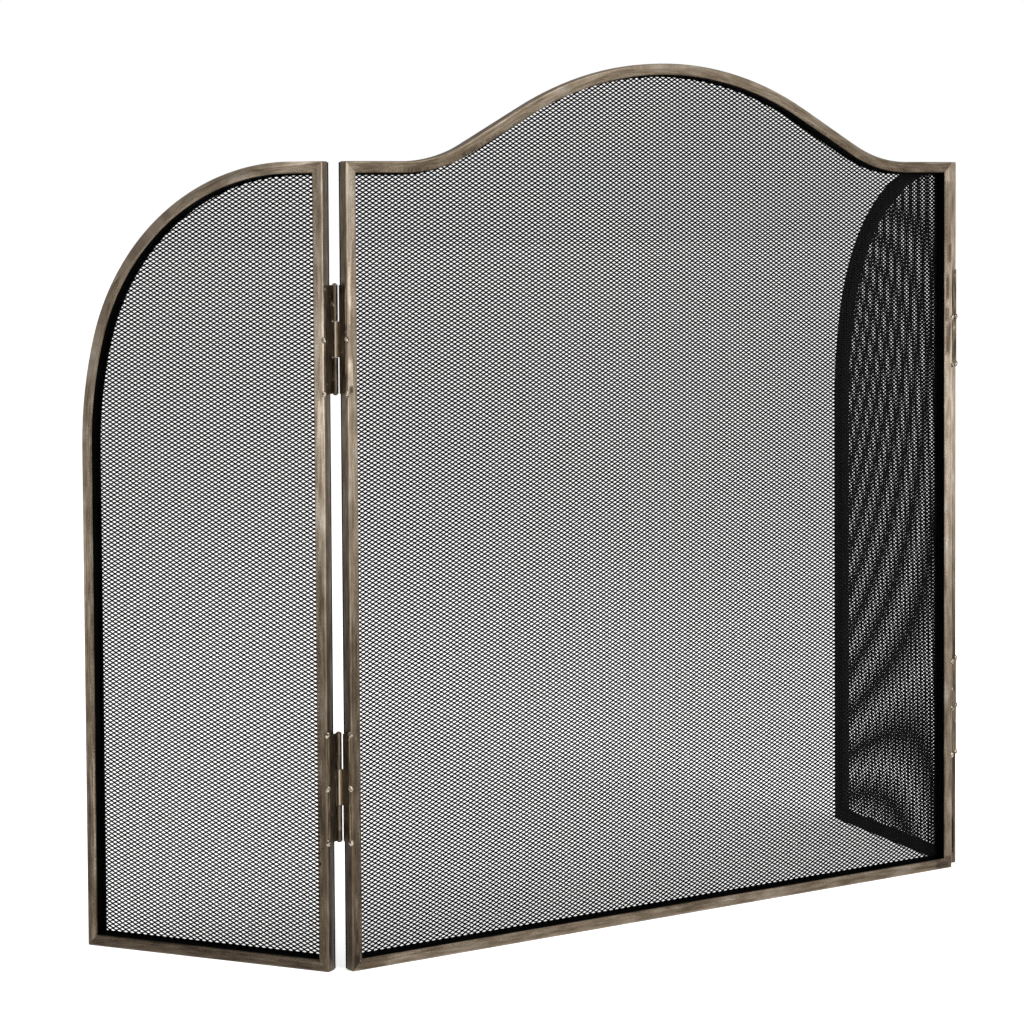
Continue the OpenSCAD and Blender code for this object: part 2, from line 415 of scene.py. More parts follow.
@dataclass(frozen=True)
class AntiqueTube:
    """Hand-rubbed antique metal on one tube, which it follows by the tube's UV map, with a
    painted highlight along its outer edge and painted shade over its outer side face.

    U runs along the tube. V runs across the front from 0 at the outer edge, and is
    negative on the outer side face.
    """

    name: str
    tone: Tone
    shift: float
    soot: Colour = (0.008, 0.006, 0.004)
    patina: Colour = (0.036, 0.025, 0.016)
    dark: Colour = (0.100, 0.074, 0.048)
    body: Colour = (0.192, 0.152, 0.110)
    light: Colour = (0.330, 0.268, 0.203)
    bright: Colour = (0.60, 0.505, 0.395)
    rubbed_from: float = 0.15
    rubbed_to: float = 0.44
    face: float = 9.5 * MM
    cloud_force: float = 0.85
    smear_force: float = 0.75
    streak_force: float = 0.55
    grit_outer: float = 0.30
    grit_inner: float = 1.15
    # how much the outer edge is lightened, for wear and a painted highlight
    edge_wear: float = 0.16
    inner_dark: float = 0.16
    # how much darker the outer side face is painted, as painted shade
    side_dark: float = 0.03
    raggedness: float = 1.6
    relief: float = 0.14 * MM

    def spot(self, s: Shader, mark: Mark) -> Socket:
        """How much one mark changes the level, with a ragged edge.

        Args:
            s: The shader under construction.
            mark: The mark.

        Returns:
            The change at each point.
        """
        along, across, _ = s.parts(s.where("UV"))
        torn = s.noise(s.where("UV", (1, 2.5, 1)), scale=420, detail=4, rough=0.7)
        torn = s.math("MULTIPLY", s.math("SUBTRACT", torn, 0.5), self.raggedness)
        share = 1.0
        for value, middle, half in ((along, mark.along, mark.half_length),
                                    (across, mark.across, mark.half_width)):
            off = s.math("ABSOLUTE", s.math("SUBTRACT", value, middle * MM))
            off = s.math("ADD", s.math("DIVIDE", off, half * MM), torn)
            share = s.math("MULTIPLY", s.fade(off, 1.25, 0.7), share)
        return s.math("MULTIPLY", share, mark.change)

    def level(self, s: Shader, patterns: tuple[Socket, Socket, Socket, Socket]) -> Socket:
        """How brightly rubbed each point is, from 0 for the patina to 1 for bright metal.

        Args:
            s: The shader under construction.
            patterns: The clouds, smears, streaks and speckle of the finish.

        Returns:
            The level, which the marks may push past 0 and 1.
        """
        height = s.parts(s.where("Object"))[2]
        across = s.parts(s.where("UV"))[1]
        tone = self.tone
        level = s.fade(height, self.rubbed_from, self.rubbed_to, tone.low, tone.high)
        above = s.fade(height, tone.top_from, tone.top_to, 0, tone.top - tone.high)
        level = s.math("ADD", level, above)
        grit = s.fade(across, 0.3 * self.face, 0.6 * self.face, self.grit_outer, self.grit_inner)
        forces = (self.cloud_force, self.smear_force, self.streak_force, grit)
        for pattern, force in zip(patterns, forces):
            swing = s.math("MULTIPLY", s.math("SUBTRACT", pattern, 0.5), force)
            level = s.math("ADD", level, swing)
        # Darker along the inner edge by the mesh, and painted shade over the outer side face
        inner = s.fade(across, self.face - 1.6 * MM, self.face - 0.4 * MM, 0, self.inner_dark)
        edges = s.math("ADD", inner, s.fade(across, -0.2 * MM, -1.4 * MM, 0, self.side_dark))
        # A lighter band along the rounded outer edge, partly wear and partly a painted highlight
        worn_and_highlit_edge = s.math("MULTIPLY", s.fade(across, -0.6 * MM, 0.5 * MM),
                      s.fade(across, 1.8 * MM, 0.9 * MM))
        worn = s.math("ADD", level, s.math("MULTIPLY", worn_and_highlit_edge, self.edge_wear))
        level = s.math("SUBTRACT", worn, edges)
        for mark in tone.marks:
            level = s.math("ADD", level, self.spot(s, mark))
        return level

    def material(self) -> bpy.types.Material:
        """Builds the material.

        Returns:
            The material.
        """
        s = Shader(self.name)
        flow = (self.shift, 0, 0)
        clouds = s.noise(s.where("UV", (1, 2.5, 1), flow), scale=30, detail=5, rough=0.62)
        smears = s.noise(s.where("UV", (1, 9, 1), flow), scale=42, detail=4, rough=0.6)
        streaks = s.noise(s.where("UV", (1, 26, 1), flow), scale=26, detail=4, rough=0.6)
        speckle = s.noise(s.where("UV", (1, 1, 1), flow), scale=900, detail=3, rough=0.65)
        level = self.level(s, (clouds, smears, streaks, speckle))
        colour = s.ramp(level, ((0.0, self.patina), (0.3, self.dark), (0.55, self.body),
                                (0.78, self.light), (1.0, self.bright)))
        colour = s.mix(s.fade(level, 0.0, -0.2), colour, self.soot)
        grey = s.mix(s.fade(clouds, 0.5, 0.66, 0, 0.6), (1.0, 1.0, 1.0), (0.90, 0.98, 1.08))
        s.set(Base_Color=s.mix(1.0, colour, grey, "MULTIPLY"), Metallic=0.85,
              Roughness=s.fade(level, 0.2, 0.9, 0.50, 0.30))
        s.bump(s.math("ADD", streaks, s.math("MULTIPLY", speckle, 0.6)), self.relief)
        return s.material


@dataclass(frozen=True)
class MattBlack:
    """Matt black paint on the backs, the inner sides and the strips."""

    name: str = "matt_black_paint"
    paint: Colour = (0.0006, 0.0006, 0.0006)
    dusty: Colour = (0.0016, 0.0015, 0.0015)

    def material(self) -> bpy.types.Material:
        """Builds the material.

        Returns:
            The material.
        """
        s = Shader(self.name)
        clouds = s.noise(s.where("Object"), scale=45, detail=4)
        peel = s.noise(s.where("Object"), scale=1400, detail=2)
        s.set(Base_Color=s.mix(s.fade(clouds, 0.4, 0.8), self.paint, self.dusty),
              Roughness=s.fade(clouds, 0.3, 0.7, 0.55, 0.75), Specular_IOR_Level=0.02)
        s.bump(peel, 0.03 * MM)
        return s.material


@dataclass(frozen=True)
class MeshPaint:
    """Thin satin black paint on the expanded metal."""

    name: str = "mesh_paint"
    paint: Colour = (0.0008, 0.0008, 0.0009)
    rubbed: Colour = (0.0024, 0.0024, 0.0024)

    def material(self) -> bpy.types.Material:
        """Builds the material.

        Returns:
            The material.
        """
        s = Shader(self.name)
        clouds = s.noise(s.where("Object"), scale=30, detail=3)
        s.set(Base_Color=s.mix(s.fade(clouds, 0.35, 0.75), self.paint, self.rubbed),
              Roughness=s.fade(clouds, 0.3, 0.7, 0.5, 0.65), Specular_IOR_Level=0.04)
        return s.material


@dataclass(frozen=True)
class WornHinge:
    """Dark bronze on one kind of hinge piece, with a painted highlight down the front of its barrel.

    The highlight is as bright as the share after the name, from 0 to 1. The barrel's axis stands
    at axis, X and Y, on both sides of the screen. Rim and front say where the highlight fades
    out, around the barrel and towards its back, in barrel radii.
    """

    name: str
    rubbed: float
    axis: tuple[float, float]
    barrel_r: float = 2.5 * MM
    rim: tuple[float, float] = (1.15, 1.02)
    front: tuple[float, float] = (-0.72, -0.9)
    dark: Colour = (0.030, 0.022, 0.014)
    body: Colour = (0.130, 0.096, 0.062)
    worn: Colour = (0.50, 0.41, 0.30)

    def material(self) -> bpy.types.Material:
        """Builds the material.

        Returns:
            The material.
        """
        s = Shader(self.name)
        streaks = s.noise(s.where("Object", (9, 9, 1)), scale=60, detail=4, rough=0.6)
        blotches = s.noise(s.where("Object"), scale=190, detail=3)
        x, y, _ = s.parts(s.where("Object"))
        aside = s.math("SUBTRACT", s.math("ABSOLUTE", x), self.axis[0])
        behind = s.math("SUBTRACT", y, self.axis[1])
        squares = s.math("ADD", s.math("MULTIPLY", aside, aside), s.math("MULTIPLY", behind, behind))
        rim, front = ([share * self.barrel_r for share in pair] for pair in (self.rim, self.front))
        # A painted highlight in the worn colour down the front of each barrel
        barrel = s.math("MULTIPLY", s.fade(s.math("SQRT", squares), *rim, 0, self.rubbed),
                        s.fade(behind, *front))
        colour = s.mix(s.fade(streaks, 0.36, 0.60), self.dark, self.body)
        # The worn colour serves both the rubbed blotches and the painted barrel highlight
        colour = s.mix(s.fade(blotches, 0.62, 0.80), colour, self.worn)
        s.set(Base_Color=s.mix(barrel, colour, self.worn), Metallic=0.85,
              Roughness=s.fade(blotches, 0.3, 0.7, 0.28, 0.46))
        s.bump(streaks, 0.08 * MM)
        return s.material


@dataclass(frozen=True)
class WeldMetal:
    """Bare weld beads that rubbing has brightened."""

    name: str = "weld_metal"
    sooty: Colour = (0.030, 0.023, 0.017)
    bare: Colour = (0.46, 0.39, 0.30)

    def material(self) -> bpy.types.Material:
        """Builds the material.

        Returns:
            The material.
        """
        s = Shader(self.name)
        lumps = s.noise(s.where("Object"), scale=620, detail=3)
        s.set(Base_Color=s.mix(s.fade(lumps, 0.42, 0.58), self.sooty, self.bare), Metallic=0.85,
              Roughness=s.fade(lumps, 0.3, 0.7, 0.42, 0.24))
        s.bump(lumps, 0.2 * MM)
        return s.material


@dataclass(frozen=True)
class PaleFloor:
    """Pale studio paper, far brighter than the screen."""

    name: str = "pale_paper"
    low: Colour = (0.90, 0.90, 0.90)
    high: Colour = (0.94, 0.94, 0.94)
    glow: float = 0.48

    def material(self) -> bpy.types.Material:
        """Builds the material.

        Returns:
            The material.
        """
        s = Shader(self.name)
        tone = s.noise(s.where("Object"), scale=3, detail=2)
        s.set(Base_Color=s.mix(tone, self.low, self.high), Roughness=0.9, Specular_IOR_Level=0.1,
              Emission_Color=(1.0, 1.0, 1.0), Emission_Strength=self.glow)
        return s.material


# ---- The screen ----

CENTRE_TONES = {
    "left_stile": Tone(0.15, 0.57, 0.58, marks=(
        Mark(7, 4.0, 6, 2.6, -0.2), Mark(618, 3.6, 22, 3.0, 0.05),
        Mark(560, 6.5, 16, 2.0, -0.16), Mark(534, 2.4, 24, 1.1, 0.34),
        Mark(474, 3.0, 11, 1.9, 0.30), Mark(461, 3.6, 2.6, 1.6, -0.42),
        Mark(250, 4.0, 30, 2.4, -0.14))),
    "right_stile": Tone(0.44, 0.80, 0.50, 0.50, 0.60, marks=(
        Mark(558, 3.5, 8, 2.5, -0.32), Mark(527, 6.0, 11, 1.6, -0.42),
        Mark(503, 6.4, 6, 2.2, -0.38), Mark(481, 5.0, 13, 2.7, -0.45),
        Mark(7, 5.0, 4, 4.0, -0.26), Mark(628, 5.0, 6, 4.0, 0.20))),
    "bottom_rail": Tone(0.43, 0.43, 0.43, marks=(
        Mark(-304, 4.5, 14, 4.5, -0.22), Mark(312, 4.5, 9, 4.0, -0.24),
        Mark(230, 4.0, 40, 3.0, -0.10))),
    "arched_rail": Tone(0.31, 0.31, 0.43, 0.635, 0.68),
}
WING_TONES = {
    "hinge_stile": Tone(0.20, 0.74, 0.50, marks=(
        Mark(26, -3.2, 15, 1.0, -0.9), Mark(150, -1.6, 70, 0.7, -0.3),
        Mark(86, 7.4, 1.3, 1.2, -0.5), Mark(420, 3.5, 30, 2.4, 0.18),
        Mark(300, 5.0, 26, 3.0, -0.16))),
    "bow": Tone(0.34, 0.47, 0.50, marks=(
        Mark(112, 8.0, 44, 0.9, 0.30), Mark(60, 3.5, 18, 2.5, -0.14))),
    "bottom_rail": Tone(0.13, 0.13, 0.13),
}
# How bright the painted highlight down the front of each kind of hinge piece's barrel is
BARREL_HIGHLIGHTS = {"centre_leaf": 0.9, "wing_leaf": 0.08, "pin": 0.3}
# Where each panel's finish starts in its patterns, so that no two panels look alike
PATTERN_SEEDS = {Panel.CENTRE: 0.0, Panel.LEFT: 1.7, Panel.RIGHT: 3.9}


@dataclass
class Place:
    """Where a panel stands, with X along it, Y towards its back and Z up.

    A wing's X starts at its hinge side. The centre panel's starts at its middle.
    """

    panel: Panel
    matrix: Matrix
    seed: float

    @property
    def body(self) -> str:
        """The body that the panel's pieces ride on."""
        return self.panel.value

    def local(self, points: np.ndarray) -> np.ndarray:
        """Points of the frame in the panel's own axes."""
        return moved(points, self.matrix.inverted())


def stand_panels() -> dict[Panel, Place]:
    """Works out from the hinges' axes where each panel stands at rest.

    Returns:
        The place of each panel.
    """
    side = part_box("centre_right_stile")[1].x
    places = {Panel.CENTRE: Place(Panel.CENTRE, Matrix.Identity(4), PATTERN_SEEDS[Panel.CENTRE])}
    for joint in frame["joints"]:
        panel = Panel(joint["child"])
        axis = Vector((abs(joint["pos_m"][0]), joint["pos_m"][1], 0))
        fold = math.radians(-joint["range_deg"][0])
        reach = Vector((axis.x - side, -axis.y, 0))
        matrix = Matrix.Translation(axis) @ Matrix.Rotation(fold, 4, "Z") @ Matrix.Translation(reach)
        if panel is Panel.LEFT:
            matrix = Matrix.Scale(-1, 4, (1, 0, 0)) @ matrix
        places[panel] = Place(panel, matrix, PATTERN_SEEDS[panel])
    return places


class Outline:
    """The edge of a panel's mesh sheet, and how far along and in from it a point lies."""

    foot = 10 * MM  # points this near the sheet's bottom edge are no part of its top curve
    same_x = 2e-6   # points this close along the panel share a place on the top curve
    tail = 0.05     # length of the level line that carries the top curve on past its far end

    def __init__(self, place: Place) -> None:
        """Reads the sheet's edge from its CAD piece.

        Args:
            place: Where the panel stands.
        """
        points = place.local(points_of(frame["nodes"][f"{place.panel.prefix}_mesh"]))
        self.front, self.back = points[:, 1].min(), points[:, 1].max()
        self.left, self.right = points[:, 0].min(), points[:, 0].max()
        self.low = points[:, 2].min()
        upper = points[points[:, 2] > self.low + self.foot]
        self.top_x = np.unique(np.round(upper[:, 0], 6))
        here = (np.abs(upper[:, 0] - x) < self.same_x for x in self.top_x)
        self.top_z = np.array([upper[chosen, 2].max() for chosen in here])

    def inside(self, x: np.ndarray, z: np.ndarray) -> np.ndarray:
        """Whether each point lies on the sheet."""
        under = z <= np.interp(x, self.top_x, self.top_z)
        return (x >= self.left) & (x <= self.right) & (z >= self.low) & under

    def along_top(self, x: np.ndarray, z: np.ndarray) -> tuple[np.ndarray, np.ndarray]:
        """Length along the top curve, and depth below it, of each point.

        Args:
            x: Places along the panel.
            z: Heights.

        Returns:
            The length from the curve's right-hand foot, and the depth in from the sheet's edge.
        """
        line_x = np.append(self.top_x, self.top_x[-1])[::-1]
        line_z = np.append(self.top_z, self.low)[::-1]
        line_x, line_z = np.append(line_x, line_x[-1] - self.tail), np.append(line_z, line_z[-1])
        step_x, step_z = np.diff(line_x), np.diff(line_z)
        size = np.hypot(step_x, step_z)
        run = np.concatenate([[0], np.cumsum(size)])
        best = np.full(len(x), np.inf)
        length, depth = np.zeros(len(x)), np.zeros(len(x))
        for i in np.flatnonzero(size > 0):
            ux, uz = step_x[i] / size[i], step_z[i] / size[i]
            ahead = np.clip((x - line_x[i]) * ux + (z - line_z[i]) * uz, 0, size[i])
            off = np.hypot(x - line_x[i] - ahead * ux, z - line_z[i] - ahead * uz)
            side = -uz * (x - line_x[i]) + ux * (z - line_z[i])
            nearer = off < best
            best = np.where(nearer, off, best)
            length = np.where(nearer, run[i] + ahead, length)
            depth = np.where(nearer, side, depth)
        return length, depth


@dataclass
class ExpandedMesh:
    """A sheet of expanded metal: strands in zigzag rows that meet at the knots.

    A unit is one long pitch by one short pitch, and has unit_faces faces. The first unit
    starts before the sheet's edge, by a share start_before of a long pitch.
    """

    place: Place
    outline: Outline
    paint: bpy.types.Material
    long_pitch: float = 6.2 * MM
    short_pitch: float = 3.4 * MM
    strand_w: float = 1.10 * MM
    strand_t: float = 0.6 * MM
    knot_gap: float = 0.4 * MM
    merge: float = 0.02 * MM
    start_before: float = 0.3
    unit_faces: int = 16
    most_faces: int = 95_000

    @property
    def rise(self) -> float:
        """How far a strand climbs from one knot to the next."""
        return self.short_pitch / 2 - self.knot_gap

    def row_pair(self, name: str, at: Vector) -> Object:
        """Models one wave of two neighbouring strands by extruding their sections.

        Args:
            name: The object's name.
            at: The first strand's first point.

        Returns:
            The two open-ended strands, a long pitch wide and a short pitch high.
        """
        half = self.long_pitch / 2
        upright = self.strand_w * math.hypot(self.rise, half) / half
        strands = []
        for lift, climb in ((0, self.rise), (self.short_pitch / 2 + self.rise, -self.rise)):
            bpy.ops.object.select_all(action="DESELECT")
            bpy.ops.mesh.primitive_plane_add(size=1, location=at + Vector((0, 0, lift)),
                                             rotation=(0, math.radians(90), 0))
            strand = bpy.context.active_object
            with editing(strand):
                bpy.ops.transform.resize(value=(1, self.strand_t, upright))
                for step in (climb, -climb):
                    move = {"value": (half, 0, step)}
                    bpy.ops.mesh.extrude_region_move(TRANSFORM_OT_translate=move)
            bpy.ops.object.transform_apply()
            select_faces(strand, np.abs(face_data(strand, "normal")[:, 0]) > SQUARE_ON)
            with editing(strand, everything=False):
                bpy.ops.mesh.delete(type="FACE")
            strands.append(strand)
        select_only(*strands)
        bpy.ops.object.join()
        strands[0].name = name
        return strands[0]

    def trim(self, band: Object) -> None:
        """Cuts the rows off at the sheet's edge and closes their ends.

        Args:
            band: The rows, in the panel's own axes.
        """
        centres, normals = face_data(band, "center"), face_data(band, "normal")
        flat = np.abs(normals[:, 1]) > FACING
        half = np.where(flat, self.strand_t / 2, self.strand_w / 2)[:, None]
        middle = centres - normals * half
        outside = np.zeros(len(middle), bool)
        for dx in (-self.long_pitch / 4, self.long_pitch / 4):
            for dz in (-self.rise / 2, self.rise / 2):
                outside |= ~self.outline.inside(middle[:, 0] + dx, middle[:, 2] + dz)
        select_faces(band, outside)
        with editing(band, everything=False):
            bpy.ops.mesh.delete(type="FACE")
            bpy.ops.mesh.select_all(action="SELECT")
            bpy.ops.mesh.fill_holes(sides=4)
            bpy.ops.mesh.select_all(action="SELECT")
            bpy.ops.mesh.normals_make_consistent(inside=False)

    def build(self) -> None:
        """Models the sheet as bands of rows, each light enough to be one mesh."""
        edge = self.outline
        across = math.ceil((edge.right - edge.left) / self.long_pitch) + 1
        rows = math.ceil((edge.top_z.max() - edge.low) / self.short_pitch)
        count = math.ceil(rows * across * self.unit_faces / self.most_faces)
        each = math.ceil(rows / count)
        start_x = edge.left - self.start_before * self.long_pitch
        depth = (edge.front + edge.back) / 2
        by_metres = {"use_relative_offset": False, "use_constant_offset": True}
        for i in range(count):
            name = f"{self.place.panel.prefix}_mesh_band_{i + 1}"
            band = self.row_pair(name, Vector((start_x, depth, edge.low + i * each * self.short_pitch)))
            apply_modifier(band, "ARRAY", count=across, **by_metres,
                           constant_offset_displace=(self.long_pitch, 0, 0),
                           use_merge_vertices=True, merge_threshold=self.merge)
            apply_modifier(band, "ARRAY", count=min(each, rows - i * each), **by_metres,
                           constant_offset_displace=(0, 0, self.short_pitch))
            self.trim(band)
            put_in_place(band, self.place.matrix)
            band.data.materials.append(self.paint)
            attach(band, self.place.body)
            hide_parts(f"{self.place.panel.prefix}_mesh")
            log.info("%s: %d faces", name, len(band.data.polygons))


@dataclass
class TubeFrame:
    """A panel's square tubes: welded corners rounded off, antique in front and black behind.

    Angles are in degrees. A corner is rounded by one cut at each of the corner_cuts.
    """

    place: Place
    outline: Outline
    black: bpy.types.Material
    tones: dict[str, Tone]
    tube: float = 9.5 * MM
    wall: float = 1.0 * MM
    eased: float = 1.2 * MM
    corner_r: float = 1.9 * MM
    corner_cuts: tuple[float, ...] = (22.5, 45, 67.5)
    merge: float = 0.001 * MM
    flat_angle: float = 0.2
    sharp_angle: float = 35
    pattern_step: float = 0.9
    corners: list[tuple[float, float]] = field(default_factory=list)

    def pieces(self) -> list[str]:
        """The CAD names of the panel's tubes."""
        return [f"{self.place.panel.prefix}_{name}" for name in self.tones]

    def copy_of(self, node: str) -> Object:
        """Copies a CAD tube into the panel's own axes and joins its loose triangles.

        Args:
            node: The tube's CAD name.

        Returns:
            The copy.
        """
        tube = frame["nodes"][node].copy()
        tube.data = tube.data.copy()
        tube.parent = None
        tube.name = f"{node}_tube"
        tube.data.materials.clear()
        bpy.context.scene.collection.objects.link(tube)
        tube.data.transform(self.place.matrix.inverted())
        with editing(tube):
            bpy.ops.mesh.remove_doubles(threshold=self.merge)
            bpy.ops.mesh.dissolve_limited(angle_limit=math.radians(self.flat_angle))
            bpy.ops.mesh.normals_make_consistent(inside=False)
        return tube

    def round_corners(self, tube: Object) -> None:
        """Rounds those of the frame's outer corners that a tube reaches.

        Args:
            tube: The tube, in the panel's own axes.
        """
        points = points_of(tube)
        low, high = points.min(axis=0), points.max(axis=0)
        for x, z in self.corners:
            if not (low[0] - MM < x < high[0] + MM and low[2] - MM < z < high[2] + MM):
                continue
            side = 1 if x > (self.outline.left + self.outline.right) / 2 else -1
            end = 1 if z > self.outline.low + self.tube else -1
            pivot = Vector((x - side * self.corner_r, 0, z - end * self.corner_r))
            for turn in map(math.radians, self.corner_cuts):
                out = Vector((side * math.cos(turn), 0, end * math.sin(turn)))
                with editing(tube):
                    bpy.ops.mesh.bisect(plane_co=pivot + self.corner_r * out, plane_no=out,
                                        use_fill=True, clear_outer=True)

    def lengths_and_depths(self, node: str, points: np.ndarray) -> tuple[np.ndarray, np.ndarray]:
        """How far along its tube, and how far in from the outer side, each point lies.

        Args:
            node: The tube's CAD name.
            points: Points in the panel's own axes.

        Returns:
            The lengths and the depths.
        """
        inset = min(abs(z - self.outline.low) for _, z in self.corners)
        if node.endswith("bottom_rail"):
            return points[:, 0], points[:, 2]
        if node.endswith("stile"):
            outer = min((x for x, _ in self.corners), key=lambda x: abs(x - points[:, 0].mean()))
            return points[:, 2], np.abs(points[:, 0] - outer)
        length, depth = self.outline.along_top(points[:, 0], points[:, 2])
        return length, depth + inset

    def lay_map(self, node: str, tube: Object) -> None:
        """Gives a tube a UV map in metres: U along it, V across the front and down the side.

        Args:
            node: The tube's CAD name.
            tube: The tube, in the panel's own axes.
        """
        points = points_of(tube)
        length, depth = self.lengths_and_depths(node, points)
        behind = points[:, 1] - points[:, 1].min()
        corners = np.empty(len(tube.data.loops), np.int32)
        tube.data.loops.foreach_get("vertex_index", corners)
        across = np.where(depth < self.eased / 2, depth - behind, depth)
        laid = np.stack([length, across], 1)[corners]
        layer = tube.data.uv_layers.get("UVMap") or tube.data.uv_layers.new(name="UVMap")
        layer.data.foreach_set("uv", laid.ravel().astype(np.float32))

    def paint(self, node: str, tube: Object) -> None:
        """Puts the antique finish on the front and the outer side, and black on the rest.

        Args:
            node: The tube's CAD name.
            tube: The tube, in the panel's own axes.
        """
        centres, normals = face_data(tube, "center"), face_data(tube, "normal")
        _, depth = self.lengths_and_depths(node, centres)
        inner = (depth > self.tube - self.eased) & (normals[:, 1] > -FACING)
        between = np.abs(centres[:, 1]) < self.tube / 2 - self.wall / 2
        bore = (depth > self.eased) & (depth < self.tube - self.eased) & between
        hidden = (normals[:, 1] > FACING) | inner | bore
        tone = self.tones[node.removeprefix(f"{self.place.panel.prefix}_")]
        shift = self.place.seed + self.pattern_step * self.pieces().index(node)
        tube.data.materials.append(AntiqueTube(f"antique_{node}", tone, shift).material())
        tube.data.materials.append(self.black)
        tube.data.polygons.foreach_set("material_index", hidden.astype(np.int32))

    def build(self) -> None:
        """Finishes each tube of the panel."""
        for node in self.pieces():
            tube = self.copy_of(node)
            self.round_corners(tube)
            self.lay_map(node, tube)
            self.paint(node, tube)
            select_only(tube)
            bpy.ops.object.shade_smooth_by_angle(angle=math.radians(self.sharp_angle))
            apply_modifier(tube, "WEIGHTED_NORMAL", keep_sharp=True)
            put_in_place(tube, self.place.matrix)
            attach(tube, self.place.body)
            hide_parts(node)
            log.info("%s: %d faces", tube.name, len(tube.data.polygons))


@dataclass
class Hinges:
    """The four butt hinges and the tack welds that hold their leaves.

    The share for each kind of piece says how bright the painted highlight on its barrel is. The
    tacks are shares of a leaf's length, from its lower end. A bead is turned by up to most_turn
    degrees.
    """

    places: dict[Panel, Place]
    weld: bpy.types.Material
    rubbed: dict[str, float]
    bead_r: float = 2.1 * MM
    bead_stretch: tuple[float, float, float] = (1.0, 0.85, 1.35)
    most_turn: float = 25
    turn_step: float = 7.3
    lump_size: float = 1.1 * MM
    lump_height: float = 0.5 * MM
    front_depth: float = 0.1 * MM
    lower_tacks: tuple[float, ...] = (0.0, 0.5, 1.0)
    upper_tacks: tuple[float, ...] = (0.0, 0.5)

    def dress(self) -> None:
        """Puts the worn finish, with its painted barrel highlight, on every CAD hinge piece."""
        x, y, _ = frame["joints"][0]["pos_m"]
        for kind, share in self.rubbed.items():
            metal = WornHinge(f"worn_{kind}", share, (abs(x), y)).material()
            for name, node in frame["nodes"].items():
                if name.endswith(kind):
                    node.data.materials.clear()
                    node.data.materials.append(metal)
                    log.info("%s: dressed", name)

    def bead(self, name: str, at: Vector, turn: float) -> Object:
        """Models one tack weld, a squashed drop of weld metal.

        Args:
            name: The bead's name.
            at: Its middle, in the frame.
            turn: How far it is turned, in degrees, so that no two look alike.

        Returns:
            The bead.
        """
        bpy.ops.object.select_all(action="DESELECT")
        bpy.ops.mesh.primitive_ico_sphere_add(subdivisions=3, radius=self.bead_r, location=at)
        bead = bpy.context.active_object
        bead.name = name
        with editing(bead):
            bpy.ops.transform.resize(value=self.bead_stretch)
            bpy.ops.transform.rotate(value=math.radians(turn), orient_axis="Y", center_override=at)
            bpy.ops.mesh.vertices_smooth(factor=0.5)
        bpy.ops.object.transform_apply()
        lumps = bpy.data.textures.new(f"{name}_lumps", "CLOUDS")
        lumps.noise_scale = self.lump_size
        apply_modifier(bead, "DISPLACE", texture=lumps, strength=self.lump_height, mid_level=0.5)
        bpy.ops.object.shade_smooth()
        bead.data.materials.append(self.weld)
        return bead

    def tack_welds(self) -> None:
        """Puts beads on the front edges of all eight leaves."""
        made = 0
        for name in sorted(frame["nodes"]):
            if not name.endswith("_leaf"):
                continue
            on_wing = name.endswith("wing_leaf")
            side = Panel.LEFT if name.startswith("left") else Panel.RIGHT
            place = self.places[side if on_wing else Panel.CENTRE]
            points = place.local(points_of(frame["nodes"][name]))
            front = points[points[:, 1] < points[:, 1].min() + self.front_depth]
            low, high = front.min(axis=0), front.max(axis=0)
            tacks = self.lower_tacks if "lower" in name else self.upper_tacks
            on_tube = high[0] if on_wing else min(low[0], high[0], key=abs)
            for i, share in enumerate(tacks):
                at = Vector((on_tube, low[1], low[2] + share * (high[2] - low[2])))
                turn = self.most_turn * math.sin(self.turn_step * made)
                bead = self.bead(f"{name}_tack_{i + 1}", place.matrix @ at, turn)
                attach(bead, place.body)
                made += 1
                log.info("%s: %d faces", bead.name, len(bead.data.polygons))


@dataclass
class Strips:
    """The flat strips that clamp each mesh to its frame."""

    paint: bpy.types.Material

    def dress(self) -> None:
        """Puts matt black paint on every CAD strip."""
        for name, node in frame["nodes"].items():
            if name.endswith("_strip"):
                node.data.materials.clear()
                node.data.materials.append(self.paint)
                log.info("%s: dressed", name)


@dataclass(frozen=True)
class Lamp:
    """One soft square light: its place, the length of its side in metres and its watts."""

    name: str
    at: tuple[float, float, float]
    size: float
    power: float


